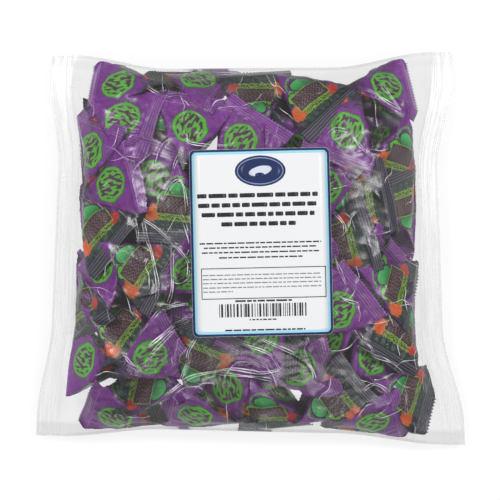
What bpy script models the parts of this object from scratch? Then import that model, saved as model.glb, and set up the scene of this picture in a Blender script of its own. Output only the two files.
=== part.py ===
"""A clear pillow bag of wrapped sweets, lying on its back, with a paper label stuck on its front.

The bag is a tube of film: its long edges, at +Y and -Y, are folds, and its ends, at +X and -X, are
crimped flat into ribbed seals. It is modelled as one closed solid out to the film. The label is a
thin curved sheet that lies on the bag's crown.

Frame: metres, +Z up out of the bag's front, +Y towards the label's top edge, origin under the
middle of the bag on the surface that it lies on.
"""

import math
import random

import bmesh
import bpy
from mathutils import Vector
from mathutils.bvhtree import BVHTree

MM = 0.001

# The bag's corners in plan, seen from the front.
CORNERS = {
    ("left", "bottom"): (-120 * MM, -104.5 * MM),
    ("right", "bottom"): (120 * MM, -110 * MM),
    ("left", "top"): (-111 * MM, 108 * MM),
    ("right", "top"): (112.5 * MM, 110 * MM),
}
# How far the filling draws the middle of each side in from the line between its corners.
WAIST = {"left": 6.5 * MM, "right": 10.5 * MM, "bottom": 5.5 * MM, "top": 8.5 * MM}
# Along a side, from its middle at 0 to a corner at 1: where the waist begins to ease, and where it ends.
WAIST_FULL, WAIST_NONE = 0.4, 0.9

THICKNESS = 52 * MM
SEAL_WIDTH = 13 * MM
SEAL_RIBS = 5
RIB_HEIGHT = 0.35 * MM
FILM_EDGE = 0.8 * MM

# The height of the bag's seam line above the table, and how far a seal droops to its outer edge.
SEAM_HEIGHT_MIDDLE = 13 * MM
SEAM_HEIGHT_CORNER = 4 * MM
SEAL_DROOP = 3.5 * MM

# The pillow's fullness: 1 is a cone-like rise, and more is a flatter crown with steeper sides.
CROWN_SQUARENESS = 3.4
SIDE_ROUNDNESS = 0.55
UNDERSIDE_FLATTENING = 1.75

# The sweets press lumps into the film. Each lump is a low pyramid, rounded at its top.
LUMP_PITCH = 34 * MM
LUMP_RADIUS = 23 * MM
LUMP_HEIGHT = 5 * MM
LUMP_SEED = 11

# The label, 3 by 4 inches, a little off the bag's middle and turned.
LABEL_WIDTH = 76.2 * MM
LABEL_HEIGHT = 101.6 * MM
LABEL_CENTRE = (5.8 * MM, 3.4 * MM)
LABEL_TURN = math.radians(1.3)
LABEL_CORNER = 3 * MM
LABEL_THICKNESS = 0.4 * MM
LABEL_GAP = 0.3 * MM
LABEL_MARGIN = 12 * MM

INNER_COLUMNS = 36
ROWS = 36
LABEL_COLUMNS = 14
LABEL_ROWS = 18


def clear_scene():
    for thing in list(bpy.data.objects):
        bpy.data.objects.remove(thing, do_unlink=True)


def principled(name, colour, roughness, alpha=1.0):
    made = bpy.data.materials.new(name)
    made.use_nodes = True
    shader = made.node_tree.nodes["Principled BSDF"]
    shader.inputs["Base Color"].default_value = (*colour, 1.0)
    shader.inputs["Roughness"].default_value = roughness
    shader.inputs["Metallic"].default_value = 0.0
    shader.inputs["Alpha"].default_value = alpha
    return made


def ease(low, high, x):
    """0 below low, 1 above high, and a smooth step between them."""
    share = min(max((x - low) / (high - low), 0.0), 1.0)
    return share * share * (3 - 2 * share)


def mix(a, b, share):
    return a + (b - a) * share


def waist(along):
    """How much of a side's waist applies at along, from -1 to 1 between its corners."""
    return 1.0 - ease(WAIST_FULL, WAIST_NONE, abs(along))


def side_x(side, t):
    """The x of the left or right side at t, from -1 at the bottom to 1 at the top."""
    chord = mix(CORNERS[side, "bottom"][0], CORNERS[side, "top"][0], (t + 1) / 2)
    inwards = 1 if side == "left" else -1
    return chord + inwards * WAIST[side] * waist(t)


def edge_y(edge, s):
    """The y of the bottom or top edge at s, from -1 at the left to 1 at the right."""
    chord = mix(CORNERS["left", edge][1], CORNERS["right", edge][1], (s + 1) / 2)
    inwards = 1 if edge == "bottom" else -1
    return chord + inwards * WAIST[edge] * waist(s)


def plan(s, t):
    """The place in plan of the bag's own coordinates s and t, each from -1 to 1."""
    x = mix(side_x("left", t), side_x("right", t), (s + 1) / 2)
    y = mix(edge_y("bottom", s), edge_y("top", s), (t + 1) / 2)
    return x, y


def seal_share():
    """The width of one seal in units of s."""
    return 2 * SEAL_WIDTH / (CORNERS["right", "bottom"][0] - CORNERS["left", "bottom"][0])


def seam_height(s, t):
    """The height of the seam line, lowest at the corners."""
    middle_share = (1 - t * t) * ease(0.0, 1.0, abs(s)) + (1 - s * s) * ease(0.0, 1.0, abs(t))
    return mix(SEAM_HEIGHT_CORNER, SEAM_HEIGHT_MIDDLE, min(middle_share, 1.0))


def fullness(s, t):
    """0 at the seams and in the seals, and 1 on the crown."""
    inner = min(abs(s) / (1 - seal_share()), 1.0)
    across = 1 - inner**CROWN_SQUARENESS
    along = 1 - abs(t) ** CROWN_SQUARENESS
    return (across * along) ** SIDE_ROUNDNESS


def label_local(x, y):
    """A place in plan, in the label's own axes."""
    dx, dy = x - LABEL_CENTRE[0], y - LABEL_CENTRE[1]
    c, s = math.cos(-LABEL_TURN), math.sin(-LABEL_TURN)
    return dx * c - dy * s, dx * s + dy * c


def clear_of_label(x, y):
    """0 under the label, which holds the film smooth, and 1 a margin away from it."""
    u, v = label_local(x, y)
    outside = max(abs(u) - LABEL_WIDTH / 2, abs(v) - LABEL_HEIGHT / 2)
    return ease(0.2 * LABEL_MARGIN, 1.2 * LABEL_MARGIN, outside)


def lump_centres():
    """Places in staggered rows, each shifted a little."""
    shuffle = random.Random(LUMP_SEED)
    reach = int(130 * MM / LUMP_PITCH) + 1
    centres = []
    for row in range(-reach, reach + 1):
        for column in range(-reach, reach + 1):
            stagger = 0.5 * (row % 2)
            x = (column + stagger + shuffle.uniform(-0.2, 0.2)) * LUMP_PITCH
            y = (row + shuffle.uniform(-0.2, 0.2)) * LUMP_PITCH * math.sqrt(3) / 2
            height = LUMP_HEIGHT * shuffle.uniform(0.5, 1.0)
            centres.append((x, y, height))
    return centres


def lumps(x, y, centres):
    """The height that the sweets add to the film at a place: the tallest lump there."""
    tallest = 0.0
    for cx, cy, height in centres:
        share = 1 - math.hypot(x - cx, y - cy) / LUMP_RADIUS
        if share > 0:
            tallest = max(tallest, height * ease(0.0, 1.0, share))
    return tallest


def rib(s):
    """The zigzag that the crimping jaws leave in a seal, flat at the seal's inner line."""
    into = (abs(s) - (1 - seal_share())) / seal_share()
    if into <= 0:
        return 0.0
    phase = (SEAL_RIBS * into) % 1.0
    return RIB_HEIGHT * (1 - 2 * abs(2 * phase - 1))


def heights(s, t, centres):
    """The heights of the film above and below, at the bag's own coordinates s and t."""
    x, y = plan(s, t)
    full = fullness(s, t)
    seam = seam_height(s, t)
    into_seal = max((abs(s) - (1 - seal_share())) / seal_share(), 0.0)
    seam -= SEAL_DROOP * into_seal * (1 - abs(t)) ** 0.5
    seam += rib(s)
    crown = THICKNESS - LUMP_HEIGHT * 0.5 * clear_of_label(x, y)
    lump_share = full * clear_of_label(x, y)
    above = mix(seam + FILM_EDGE / 2, crown, full) + lump_share * (lumps(x, y, centres) - LUMP_HEIGHT / 2)
    below = (seam - FILM_EDGE / 2) * (1 - min(UNDERSIDE_FLATTENING * full, 1.0))
    return min(above, THICKNESS), max(below, 0.0)


def columns():
    """The grid's columns in s: fine over the ribbed seals, even between them."""
    edge = 1 - seal_share()
    per_seal = 2 * SEAL_RIBS
    left = [mix(-1.0, -edge, i / per_seal) for i in range(per_seal)]
    middle = [mix(-edge, edge, i / INNER_COLUMNS) for i in range(INNER_COLUMNS + 1)]
    right = [mix(edge, 1.0, (i + 1) / per_seal) for i in range(per_seal)]
    return left + middle + right


def closed_sheet(name, rows):
    """A closed solid from rows of (upper point, lower point), joined all round its rim."""
    made = bmesh.new()
    upper = [[made.verts.new(pair[0]) for pair in row] for row in rows]
    lower = [[made.verts.new(pair[1]) for pair in row] for row in rows]
    last_row, last_column = len(rows) - 1, len(rows[0]) - 1
    for j in range(last_row):
        for i in range(last_column):
            made.faces.new([upper[j][i], upper[j][i + 1], upper[j + 1][i + 1], upper[j + 1][i]])
            made.faces.new([lower[j + 1][i], lower[j + 1][i + 1], lower[j][i + 1], lower[j][i]])
    rim = [(0, i) for i in range(last_column)]
    rim += [(j, last_column) for j in range(last_row)]
    rim += [(last_row, i) for i in range(last_column, 0, -1)]
    rim += [(j, 0) for j in range(last_row, 0, -1)]
    for (j, i), (k, m) in zip(rim, rim[1:] + rim[:1]):
        made.faces.new([lower[j][i], lower[k][m], upper[k][m], upper[j][i]])
    bmesh.ops.triangulate(made, faces=made.faces[:])
    mesh = bpy.data.meshes.new(name)
    made.to_mesh(mesh)
    made.free()
    mesh.shade_smooth()
    mesh.set_sharp_from_angle(angle=math.radians(50))
    return mesh


def add_object(name, mesh, material):
    made = bpy.data.objects.new(name, mesh)
    bpy.context.scene.collection.objects.link(made)
    mesh.materials.append(material)
    return made


def make_bag():
    centres = lump_centres()
    rows = []
    for j in range(ROWS + 1):
        t = mix(-1.0, 1.0, j / ROWS)
        row = []
        for s in columns():
            x, y = plan(s, t)
            above, below = heights(s, t, centres)
            row.append(((x, y, above), (x, y, below)))
        rows.append(row)
    film = principled("clear_film", (0.9, 0.9, 0.92), 0.12, alpha=0.3)
    return add_object("bag", closed_sheet("bag", rows), film)


def rounded_half_width(v):
    """Half the label's width at v, its corners rounded."""
    past = abs(v) - (LABEL_HEIGHT / 2 - LABEL_CORNER)
    cut = 0.0
    if past > 0:
        cut = LABEL_CORNER - math.sqrt(max(LABEL_CORNER**2 - past**2, 0.0))
    return LABEL_WIDTH / 2 - cut


def label_rows():
    """The label's rows in v, with a few more over the rounded corners."""
    straight = LABEL_HEIGHT / 2 - LABEL_CORNER
    bend = [straight + LABEL_CORNER * math.sin(math.radians(a)) for a in (30, 60, 90)]
    middle = [mix(-straight, straight, j / LABEL_ROWS) for j in range(LABEL_ROWS + 1)]
    return [-v for v in reversed(bend)] + middle + bend


def make_label(bag):
    """The label follows the bag's own faces at an even gap above them."""
    bag_faces = BVHTree.FromObject(bag, bpy.context.evaluated_depsgraph_get())
    c, s = math.cos(LABEL_TURN), math.sin(LABEL_TURN)
    rows = []
    for v in label_rows():
        row = []
        for i in range(LABEL_COLUMNS + 1):
            u = rounded_half_width(v) * mix(-1.0, 1.0, i / LABEL_COLUMNS)
            x = LABEL_CENTRE[0] + u * c - v * s
            y = LABEL_CENTRE[1] + u * s + v * c
            hit = bag_faces.ray_cast(Vector((x, y, 2 * THICKNESS)), Vector((0, 0, -1)))[0]
            below = hit.z + LABEL_GAP
            row.append(((x, y, below + LABEL_THICKNESS), (x, y, below)))
        rows.append(row)
    paper = principled("label_paper", (0.9, 0.93, 0.97), 0.4)
    return add_object("label", closed_sheet("label", rows), paper)


def main():
    clear_scene()
    bag = make_bag()
    bpy.context.view_layer.update()
    make_label(bag)


main()
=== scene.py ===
"""The looks of a clear pillow bag of wrapped sweets: film, sachets and label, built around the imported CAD.

The bag lies on its back and the camera looks down on it. Lengths are in metres unless a name ends in _mm.
The bag's outline and heights come from the CAD node "bag", and the label's place from the node "label".
"""

import math

import bpy
import numpy as np
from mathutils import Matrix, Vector
from mathutils.bvhtree import BVHTree

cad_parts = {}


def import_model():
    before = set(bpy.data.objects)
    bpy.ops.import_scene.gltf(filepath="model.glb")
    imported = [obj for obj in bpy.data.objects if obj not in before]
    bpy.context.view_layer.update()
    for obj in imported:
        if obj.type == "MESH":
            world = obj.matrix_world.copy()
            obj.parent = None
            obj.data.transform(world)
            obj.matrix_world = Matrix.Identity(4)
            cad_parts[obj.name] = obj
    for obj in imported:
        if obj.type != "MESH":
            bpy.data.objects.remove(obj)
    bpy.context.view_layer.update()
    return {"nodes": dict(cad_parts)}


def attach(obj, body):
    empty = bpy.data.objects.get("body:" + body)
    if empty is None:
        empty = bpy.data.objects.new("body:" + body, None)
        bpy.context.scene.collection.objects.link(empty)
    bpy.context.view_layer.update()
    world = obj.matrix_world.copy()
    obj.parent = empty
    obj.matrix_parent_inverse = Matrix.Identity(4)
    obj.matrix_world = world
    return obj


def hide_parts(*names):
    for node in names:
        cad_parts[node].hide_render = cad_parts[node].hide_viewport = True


MM = 0.001

# ---------------------------------------------------------------------------------------------
# Driving sizes
# ---------------------------------------------------------------------------------------------

# One sachet: a tube of film sealed flat at both ends, the two seals at right angles.
SACHET_WIDTH = 42 * MM
SACHET_DEPTH = 33 * MM
SACHET_FIN = 7 * MM
SACHET_FILM = 0.15 * MM
SACHET_AROUND = 88
SACHET_ALONG = 28
SACHET_FIN_ROWS = 14
SACHET_RIB = 0.16 * MM
SACHET_TOOTH = 1.2 * MM
SEAL_LINE_mm = 1.5
SACHET_SLANT = math.hypot(SACHET_DEPTH, SACHET_WIDTH / 2)
FACE_TILT = math.degrees(math.atan2(SACHET_WIDTH / 2, SACHET_DEPTH))
FACE_mm = SACHET_SLANT / MM
ROUND_mm = 2 * SACHET_WIDTH / MM
SWEETS = 8

# The bag's outline, as in the CAD.
CORNERS = {
    ("left", "bottom"): (-120 * MM, -104.5 * MM),
    ("right", "bottom"): (120 * MM, -110 * MM),
    ("left", "top"): (-111 * MM, 108 * MM),
    ("right", "top"): (112.5 * MM, 110 * MM),
}
WAIST = {"left": 6.5 * MM, "right": 10.5 * MM, "bottom": 5.5 * MM, "top": 8.5 * MM}
WAIST_FULL, WAIST_NONE = 0.4, 0.9
SEAL_SHARE = 2 * 13 / 240
# How far out the sachets may reach, as shares of the way to the bag's edges.
REACH_ACROSS, REACH_UP = 0.885, 0.985
# About half the bag's width and height, to find s and t from x and y by steps.
HALF_ACROSS, HALF_UP = 115 * MM, 108 * MM
SEAL_RIB_HEIGHT = 0.05 * MM
SEAL_RIB_PITCH = 2.4 * MM
FILM_COLUMNS, FILM_ROWS = 320, 290
BACK_COLUMNS, BACK_ROWS = 130, 120
FILM_GAP = 0.5 * MM
FILM_STEPS, FILM_PULL = 420, 0.005 * MM
BACK_STEPS = 120
EDGE_INSET = 0.995
PRESS = 1.5 * MM
RUMPLE, RUMPLE_PITCH = 0.1 * MM, 6.5 * MM

LABEL_CENTRE = (5.8 * MM, 3.4 * MM)
LABEL_TURN = math.radians(1.3)
LABEL_WIDTH = 76.2 * MM
LABEL_HEIGHT = 101.6 * MM
LABEL_CORNER = 3 * MM
LABEL_GAP = 0.25 * MM
LABEL_PAPER = 0.25 * MM
PRINT_STEP = 0.03 * MM

CAMERA_HEIGHT = 1.46
VIEW_WIDTH = 0.275
VIEW_LEVEL = 30 * MM
CAMERA_OFFSET = (-0.3 * MM, -0.8 * MM)

FLOOR_SHADE, FLOOR_GLOW = 0.25, 0.79
WORLD_LEVEL = 0.5
FILM_TINT, FILM_HAZE = 0.985, 0.006
# The film's milky streaks in its side seals, its milky rims, and the greyer bands where it is folded under:
# places as shares of the way across or up the sheet, and strengths.
STREAKS_ACROSS, STREAKS_UP, STREAK_HAZE = 190.0, 7.0, 0.16
RIM_ACROSS, RIM_UP, RIM_SOFT, RIM_HAZE = 0.988, 0.986, 0.008, 0.22
BOTTOM_FOLD, TOP_FOLD, BAND_SOFT = 0.036, 0.965, 0.012
BOTTOM_GREY, TOP_GREY = 0.93, 0.975
# Each light's name, place, side and power.
LIGHTS = (
    ("key", (-0.7, 0.5, 1.1), 0.3, 5.2),
    ("fill", (0.8, 0.3, 1.0), 0.3, 4.2),
    ("low", (0.1, -0.9, 0.9), 0.3, 1.8),
)

# The sachets that show, as x and y in mm, turn (from dark seal to purple seal, degrees from +X), roll
# (0 with a face over the dark seal up, 90 with a face over the purple seal up), depth under the film's
# crown in mm, and how many degrees the upper face is tipped: above 0 its own seal rises, below 0 it drops.
FRONT_mm = (
    (-70, 93, 212, 90, 0, -10),
    (-69, 69, -12, 90, 0, 0),
    (-85, 52, 65, 90, 1, 0),
    (-71, 36, 5, 90, 0, 15),
    (-55, 36, 60, 90, 6, 0),
    (-50, 62, 90, 0, 8, 0),
    (-35, 61, 79, 90, 0, 0),
    (-31, 92, -66, 90, 1, 0),
    (-81, 10, 129, 0, 0, 30),
    (-65, -9, 165, 0, 0, 0),
    (-90, -27, 118, 0, 1, 10),
    (-81, -14, 250, 90, 6, 0),
    (-42, 26, 80, 0, 0, 0),
    (-37, -12, 20, 90, 4, 0),
    (-74, -47, 150, 20, 4, 0),
    (-86, -61, 187, 90, 0, -20),
    (-58, -56, 24, 90, 0, 0),
    (-71, -92, 134, 90, 0, -10),
    (-57, -80, 20, 0, 5, 0),
    (-27, -88, 192, 45, 0, 0),
    (-27, -62, 245, 0, 3, 0),
    (-8, -73, 130, 60, 5, 0),
    (9, -82, 89, 0, 1, -25),
    (7, -46, 235, 90, 3, 0),
    (8, -61, 200, 20, 7, 0),
    (27, -66, 30, 90, 7, 0),
    (46, -81, 238, 0, 0, 8),
    (70, -92, -10, 120, 4, 0),
    (79, -86, 195, 0, 0, -30),
    (61, -58, 60, 90, 10, 0),
    (77, -45, 70, 0, 0, 0),
    (43, -34, 32, 90, 0, 0),
    (74, -17, 139, 0, 0, 0),
    (64, -5, 20, 90, 9, 0),
    (66, 8, 150, 90, 9, 0),
    (53, 4, 180, 0, 7, 0),
    (81, 18, -90, 0, 0, 0),
    (60, 25, 200, 20, 5, 0),
    (41, 34, 190, 90, 4, 0),
    (76, 53, 90, 45, 2, 0),
    (52, 64, -105, 90, 0, 0),
    (73, 87, -3, 60, 0, 0),
    (32, 82, 110, 0, 0, 0),
    (3, 79, -83, 0, 2, -25),
    (-5, 56, 54, 90, 1, 0),
    (-8, 22, 20, 0, 8, 0),
    (26, 8, 280, 90, 8, 0),
    (-4, -16, 160, 90, 8, 0),
    (30, -26, 60, 0, 8, 0),
)
COUNT = 60
# The hidden sachets start on a grid of spots, as low as the bag lets them, and keep off the label's middle.
BACK_SEED = 5
SPOT_ACROSS_mm, SPOT_UP_mm, SPOT_STEP_mm = 68, 64, 4.0
LABEL_SPOTS_mm = (6, 3, 30, 42)
AS_LOW_AS_FITS = 99
LYING_HALF = 12 * MM
SETTLE_STEPS = 140
SETTLE_SPIN, SETTLE_HOLD = 1.5, 0.04
SETTLE_OVERLAP = 0.6 * MM
FIN_BENDS = (0.0, 0.25, -0.25, 0.5, -0.5, 0.8, -0.8, 1.1, -1.1, 1.4, -1.4)


def mix(a, b, share):
    return a + (b - a) * share


def ease(low, high, x):
    """0 below low, 1 above high, and a smooth step between them."""
    share = np.clip((x - low) / (high - low), 0.0, 1.0)
    return share * share * (3 - 2 * share)


# ---------------------------------------------------------------------------------------------
# Shader nodes
# ---------------------------------------------------------------------------------------------


class Shader:
    """A material's node tree, with short calls for the maths that draws its print."""

    def __init__(self, name):
        self.material = bpy.data.materials.new(name)
        self.material.use_nodes = True
        self.tree = self.material.node_tree
        self.tree.nodes.clear()
        self.output = self.tree.nodes.new("ShaderNodeOutputMaterial")

    def node(self, kind, **settings):
        made = self.tree.nodes.new(kind)
        for key, value in settings.items():
            setattr(made, key, value)
        return made

    def feed(self, socket, value):
        """Link a socket to value, or set it to value."""
        if isinstance(value, bpy.types.NodeSocket):
            self.tree.links.new(value, socket)
        elif isinstance(value, tuple) and socket.type == "RGBA":
            socket.default_value = (*value, 1.0)
        else:
            socket.default_value = value

    def place(self):
        return self.node("ShaderNodeTexCoord").outputs["Object"]

    def uv(self):
        """The two parts of the UV map."""
        parts = self.node("ShaderNodeSeparateXYZ")
        self.feed(parts.inputs[0], self.node("ShaderNodeUVMap", uv_map="UVMap").outputs[0])
        return parts.outputs[0], parts.outputs[1]

    def flat(self, x, y):
        """The vector of x and y."""
        made = self.node("ShaderNodeCombineXYZ")
        self.feed(made.inputs[0], x)
        self.feed(made.inputs[1], y)
        return made.outputs[0]

    def blend(self, share, under, over):
        """The shader over mixed by share into the shader under."""
        made = self.node("ShaderNodeMixShader")
        for socket, value in zip(made.inputs, (share, under, over)):
            self.feed(socket, value)
        return made.outputs[0]

    def math(self, operation, *values, clamp=False):
        made = self.node("ShaderNodeMath", operation=operation, use_clamp=clamp)
        for socket, value in zip(made.inputs, values):
            self.feed(socket, value)
        return made.outputs[0]

    def add(self, a, b):
        return self.math("ADD", a, b)

    def sub(self, a, b):
        return self.math("SUBTRACT", a, b)

    def mul(self, a, b):
        return self.math("MULTIPLY", a, b)

    def both(self, a, b):
        """The overlap of two shapes given by their distances."""
        return self.math("MAXIMUM", a, b)

    def size(self, a):
        return self.math("ABSOLUTE", a)

    def inside(self, distance, soft=0.25):
        """1 inside a shape, where distance is negative, and 0 outside, with an edge soft mm wide."""
        return self.math("MULTIPLY_ADD", distance, -1.0 / soft, 0.5, clamp=True)

    def paint(self, under, over, share):
        """The colour over laid on the colour under."""
        made = self.node("ShaderNodeMix", data_type="RGBA")
        self.feed(made.inputs[0], share)
        self.feed(made.inputs[6], under)
        self.feed(made.inputs[7], over)
        return made.outputs[2]

    def noise(self, vector, scale, detail=2.0, roughness=0.5):
        made = self.node("ShaderNodeTexNoise")
        self.feed(made.inputs["Vector"], vector)
        made.inputs["Scale"].default_value = scale
        made.inputs["Detail"].default_value = detail
        made.inputs["Roughness"].default_value = roughness
        return made.outputs["Fac"]

    def outlined(self, colour, rim, fill, shape):
        """A shape filled with one colour, with a rim half a mm wide of another, laid on a colour."""
        colour = self.paint(colour, rim, self.inside(self.sub(shape, 0.5), 0.3))
        return self.paint(colour, fill, self.inside(shape, 0.3))

    def spread(self, vector, scale, reach, detail=1.0):
        """A noise that runs from about minus reach to reach."""
        return self.math("MULTIPLY_ADD", self.noise(vector, scale, detail), 4 * reach, -2 * reach)

    def turned(self, x, y, centre, degrees):
        """x and y in the axes of a shape at centre, turned."""
        c, s = math.cos(math.radians(degrees)), math.sin(math.radians(degrees))
        dx, dy = self.sub(x, centre[0]), self.sub(y, centre[1])
        across = self.add(self.mul(dx, c), self.mul(dy, s))
        return across, self.sub(self.mul(dy, c), self.mul(dx, s))

    def ellipse(self, x, y, centre, radii, degrees=0.0):
        """About the distance in mm outside an ellipse."""
        u, v = self.turned(x, y, centre, degrees)
        u, v = self.mul(u, 1 / radii[0]), self.mul(v, 1 / radii[1])
        length = self.math("SQRT", self.add(self.mul(u, u), self.mul(v, v)))
        return self.mul(self.sub(length, 1.0), min(radii))

    def box(self, x, y, centre, halves, degrees=0.0):
        """About the distance in mm outside a rectangle."""
        u, v = self.turned(x, y, centre, degrees)
        return self.both(self.sub(self.size(u), halves[0]), self.sub(self.size(v), halves[1]))

    def wrapped(self, value, period):
        """value folded to run from minus half a period to half a period."""
        turns = self.math("FLOOR", self.mul(value, 1 / period))
        return self.sub(self.sub(value, self.mul(turns, period)), period / 2)

    def bump(self, height, strength, distance):
        made = self.node("ShaderNodeBump")
        made.inputs["Strength"].default_value = strength
        made.inputs["Distance"].default_value = distance
        self.feed(made.inputs["Height"], height)
        return made.outputs[0]

    def principled(self, colour, roughness, coat=0.0, coat_roughness=0.1, normal=None):
        shader = self.node("ShaderNodeBsdfPrincipled")
        self.feed(shader.inputs["Base Color"], colour)
        shader.inputs["Roughness"].default_value = roughness
        shader.inputs["Coat Weight"].default_value = coat
        shader.inputs["Coat Roughness"].default_value = coat_roughness
        if normal is not None:
            self.feed(shader.inputs["Normal"], normal)
        self.feed(self.output.inputs[0], shader.outputs[0])
        return self.material


def screen_level(c):
    """One channel as a screen shows it, 0 to 255, turned into the linear level that shaders take."""
    c = c / 255
    return c / 12.92 if c < 0.04 else ((c + 0.055) / 1.055) ** 2.4


def srgb(red, green, blue):
    return screen_level(red), screen_level(green), screen_level(blue)


PURPLE = srgb(168, 60, 190)
DEEP_PURPLE = srgb(128, 44, 150)
BLACK_FILM = srgb(50, 48, 68)
LIME = srgb(112, 214, 70)
DARK_GREEN = srgb(26, 54, 42)
YELLOW_GREEN = srgb(158, 200, 56)
EMERALD = srgb(24, 132, 78)
PALE_GREEN = srgb(92, 214, 116)
SCRIBBLE = srgb(46, 116, 60)
ORANGE = srgb(244, 116, 44)
RED = srgb(222, 60, 54)
PANEL = srgb(80, 46, 78)
PANEL_LINES = srgb(168, 140, 84)
STROKES = srgb(104, 44, 96)
# A painted highlight for the seal ribs of the sachets' fins:
SHINE = srgb(214, 200, 224)
LEAF = srgb(58, 128, 58)
# Painted highlight for the ridges of the sachets' wrinkles, and painted shade for their creases:
RIDGE_HIGHLIGHT = srgb(196, 128, 212)
SHADED = srgb(82, 30, 100)


def dark_face_print(sh, ground, place, k, v):
    """The print on the faces over the dark seal: scribbles, splats, a band, a curl, beans and a panel."""
    fine = sh.spread(place, 0.8, 1.1, 2.0)
    scribble = sh.sub(sh.size(sh.spread(place, 0.45, 3.0)), 0.32)
    near_band = sh.inside(sh.ellipse(k, v, (0.0, 8.0), (19.0, 9.0)), 4.0)
    colour = sh.paint(ground, SCRIBBLE, sh.mul(sh.inside(scribble, 0.3), near_band))
    halo = sh.add(sh.ellipse(k, v, (0.0, 13.5), (12.5, 9.0), 4.0), fine)
    colour = sh.paint(colour, DARK_GREEN, sh.mul(sh.inside(halo, 1.2), 0.8))
    band = sh.add(sh.box(k, v, (0.5, 7.0), (10.0, 1.9), 3.0), sh.mul(fine, 0.6))
    colour = sh.paint(colour, YELLOW_GREEN, sh.inside(band, 0.5))
    flecks = sh.inside(sh.spread(place, 1.2, 3.0), 0.6)
    colour = sh.paint(colour, DARK_GREEN, sh.mul(flecks, sh.inside(sh.add(band, 0.6), 0.4)))
    right_splat = sh.add(sh.ellipse(k, v, (11.8, 9.5), (3.9, 5.0), 25.0), fine)
    colour = sh.paint(colour, ORANGE, sh.inside(right_splat, 0.4))
    left_splat = sh.add(sh.ellipse(k, v, (-11.4, 7.4), (3.6, 3.0), -20.0), fine)
    colour = sh.paint(colour, RED, sh.inside(left_splat, 0.4))
    curl = sh.sub(sh.size(sh.add(sh.ellipse(k, v, (0.5, 24.0), (6.0, 4.6), -30.0), fine)), 0.5)
    colour = sh.paint(colour, LIME, sh.inside(curl, 0.3))
    bean = sh.ellipse(k, v, (-2.5, 21.5), (6.2, 4.0), 20.0)
    colour = sh.paint(colour, DARK_GREEN, sh.inside(sh.sub(bean, 0.7), 0.4))
    tone = sh.math("MULTIPLY_ADD", v, 0.16, -2.9, clamp=True)
    colour = sh.paint(colour, sh.paint(EMERALD, PALE_GREEN, tone), sh.inside(bean, 0.35))
    small = sh.ellipse(k, v, (7.4, 18.6), (3.1, 2.2), -35.0)
    colour = sh.outlined(colour, DARK_GREEN, LIME, small)
    panel = sh.add(sh.box(k, v, (-0.5, 13.4), (9.4, 4.8), 5.0), sh.mul(fine, 0.25))
    colour = sh.outlined(colour, YELLOW_GREEN, PANEL, panel)
    sway = sh.mul(sh.math("SINE", sh.mul(v, 1.6)), 1.6)
    ripple = sh.sub(sh.size(sh.math("SINE", sh.add(sh.mul(k, 1.5), sway))), 0.34)
    lines = sh.mul(sh.inside(ripple, 0.3), sh.inside(sh.add(panel, 0.9), 0.4))
    return sh.paint(colour, PANEL_LINES, sh.mul(lines, 0.85))


def purple_face_print(sh, ground, place, p, v):
    """The print on the faces over the purple seal: a lime blob with a darker rim and dark flecks."""
    centre = (0.0, FACE_mm - 13.0)
    blob = sh.add(sh.ellipse(p, v, centre, (9.8, 8.8), 12.0), sh.spread(place, 0.11, 1.5, 0.0))
    colour = sh.outlined(ground, LEAF, LIME, blob)
    x, y = sh.turned(p, v, centre, 8.0)
    flecks = sh.inside(sh.spread(sh.flat(x, sh.mul(y, 0.42)), 0.62, 3.0, 0.0), 0.5)
    shown = sh.mul(sh.inside(sh.add(blob, 1.8), 0.5), flecks)
    return sh.paint(colour, STROKES, shown)


def sachet_material():
    """The printed film of a sachet, drawn in mm: u runs round the tube, v up from the dark seal."""
    sh = Shader("sachet_film")
    round_share, tenths = sh.uv()
    u, v = sh.mul(round_share, ROUND_mm), sh.mul(tenths, 100.0)
    place = sh.flat(u, v)
    period = ROUND_mm / 2
    k = sh.wrapped(sh.add(u, period / 2), period)
    p = sh.wrapped(u, period)
    torn = sh.add(sh.spread(place, 0.22, 5.0), sh.mul(sh.size(k), -0.1))
    dark = sh.inside(sh.sub(v, sh.add(torn, 12.5)), 9.0)
    shade = sh.noise(place, 0.06, 2.0)
    ground = sh.paint(PURPLE, DEEP_PURPLE, shade)
    wrinkle = sh.spread(place, 0.14, 1.0, 4.0)
    # Painted shade in the creases of the film's wrinkles, and a painted highlight on their ridges.
    ground = sh.paint(ground, SHADED, sh.mul(sh.inside(sh.sub(sh.size(wrinkle), 0.03), 0.14), 0.8))
    ground = sh.paint(ground, RIDGE_HIGHLIGHT, sh.mul(sh.inside(sh.sub(0.62, wrinkle), 0.3), 0.5))
    ground = sh.paint(ground, BLACK_FILM, dark)
    colour = dark_face_print(sh, ground, place, k, v)
    colour = purple_face_print(sh, colour, place, p, v)
    # Painted highlight: pale lines along the seal ribs of both fins.
    in_fin = sh.math("MAXIMUM", sh.inside(v, 0.3), sh.inside(sh.sub(FACE_mm, v), 0.3))
    ridge = sh.inside(sh.sub(sh.size(sh.wrapped(v, SEAL_LINE_mm)), 0.2), 0.35)
    colour = sh.paint(colour, SHINE, sh.mul(sh.mul(ridge, in_fin), 0.3))
    creases = sh.size(sh.spread(place, 0.3, 1.0, 4.0))
    return sh.principled(colour, 0.32, 0.2, 0.15, sh.bump(creases, 0.7, 0.3 * MM))


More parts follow.
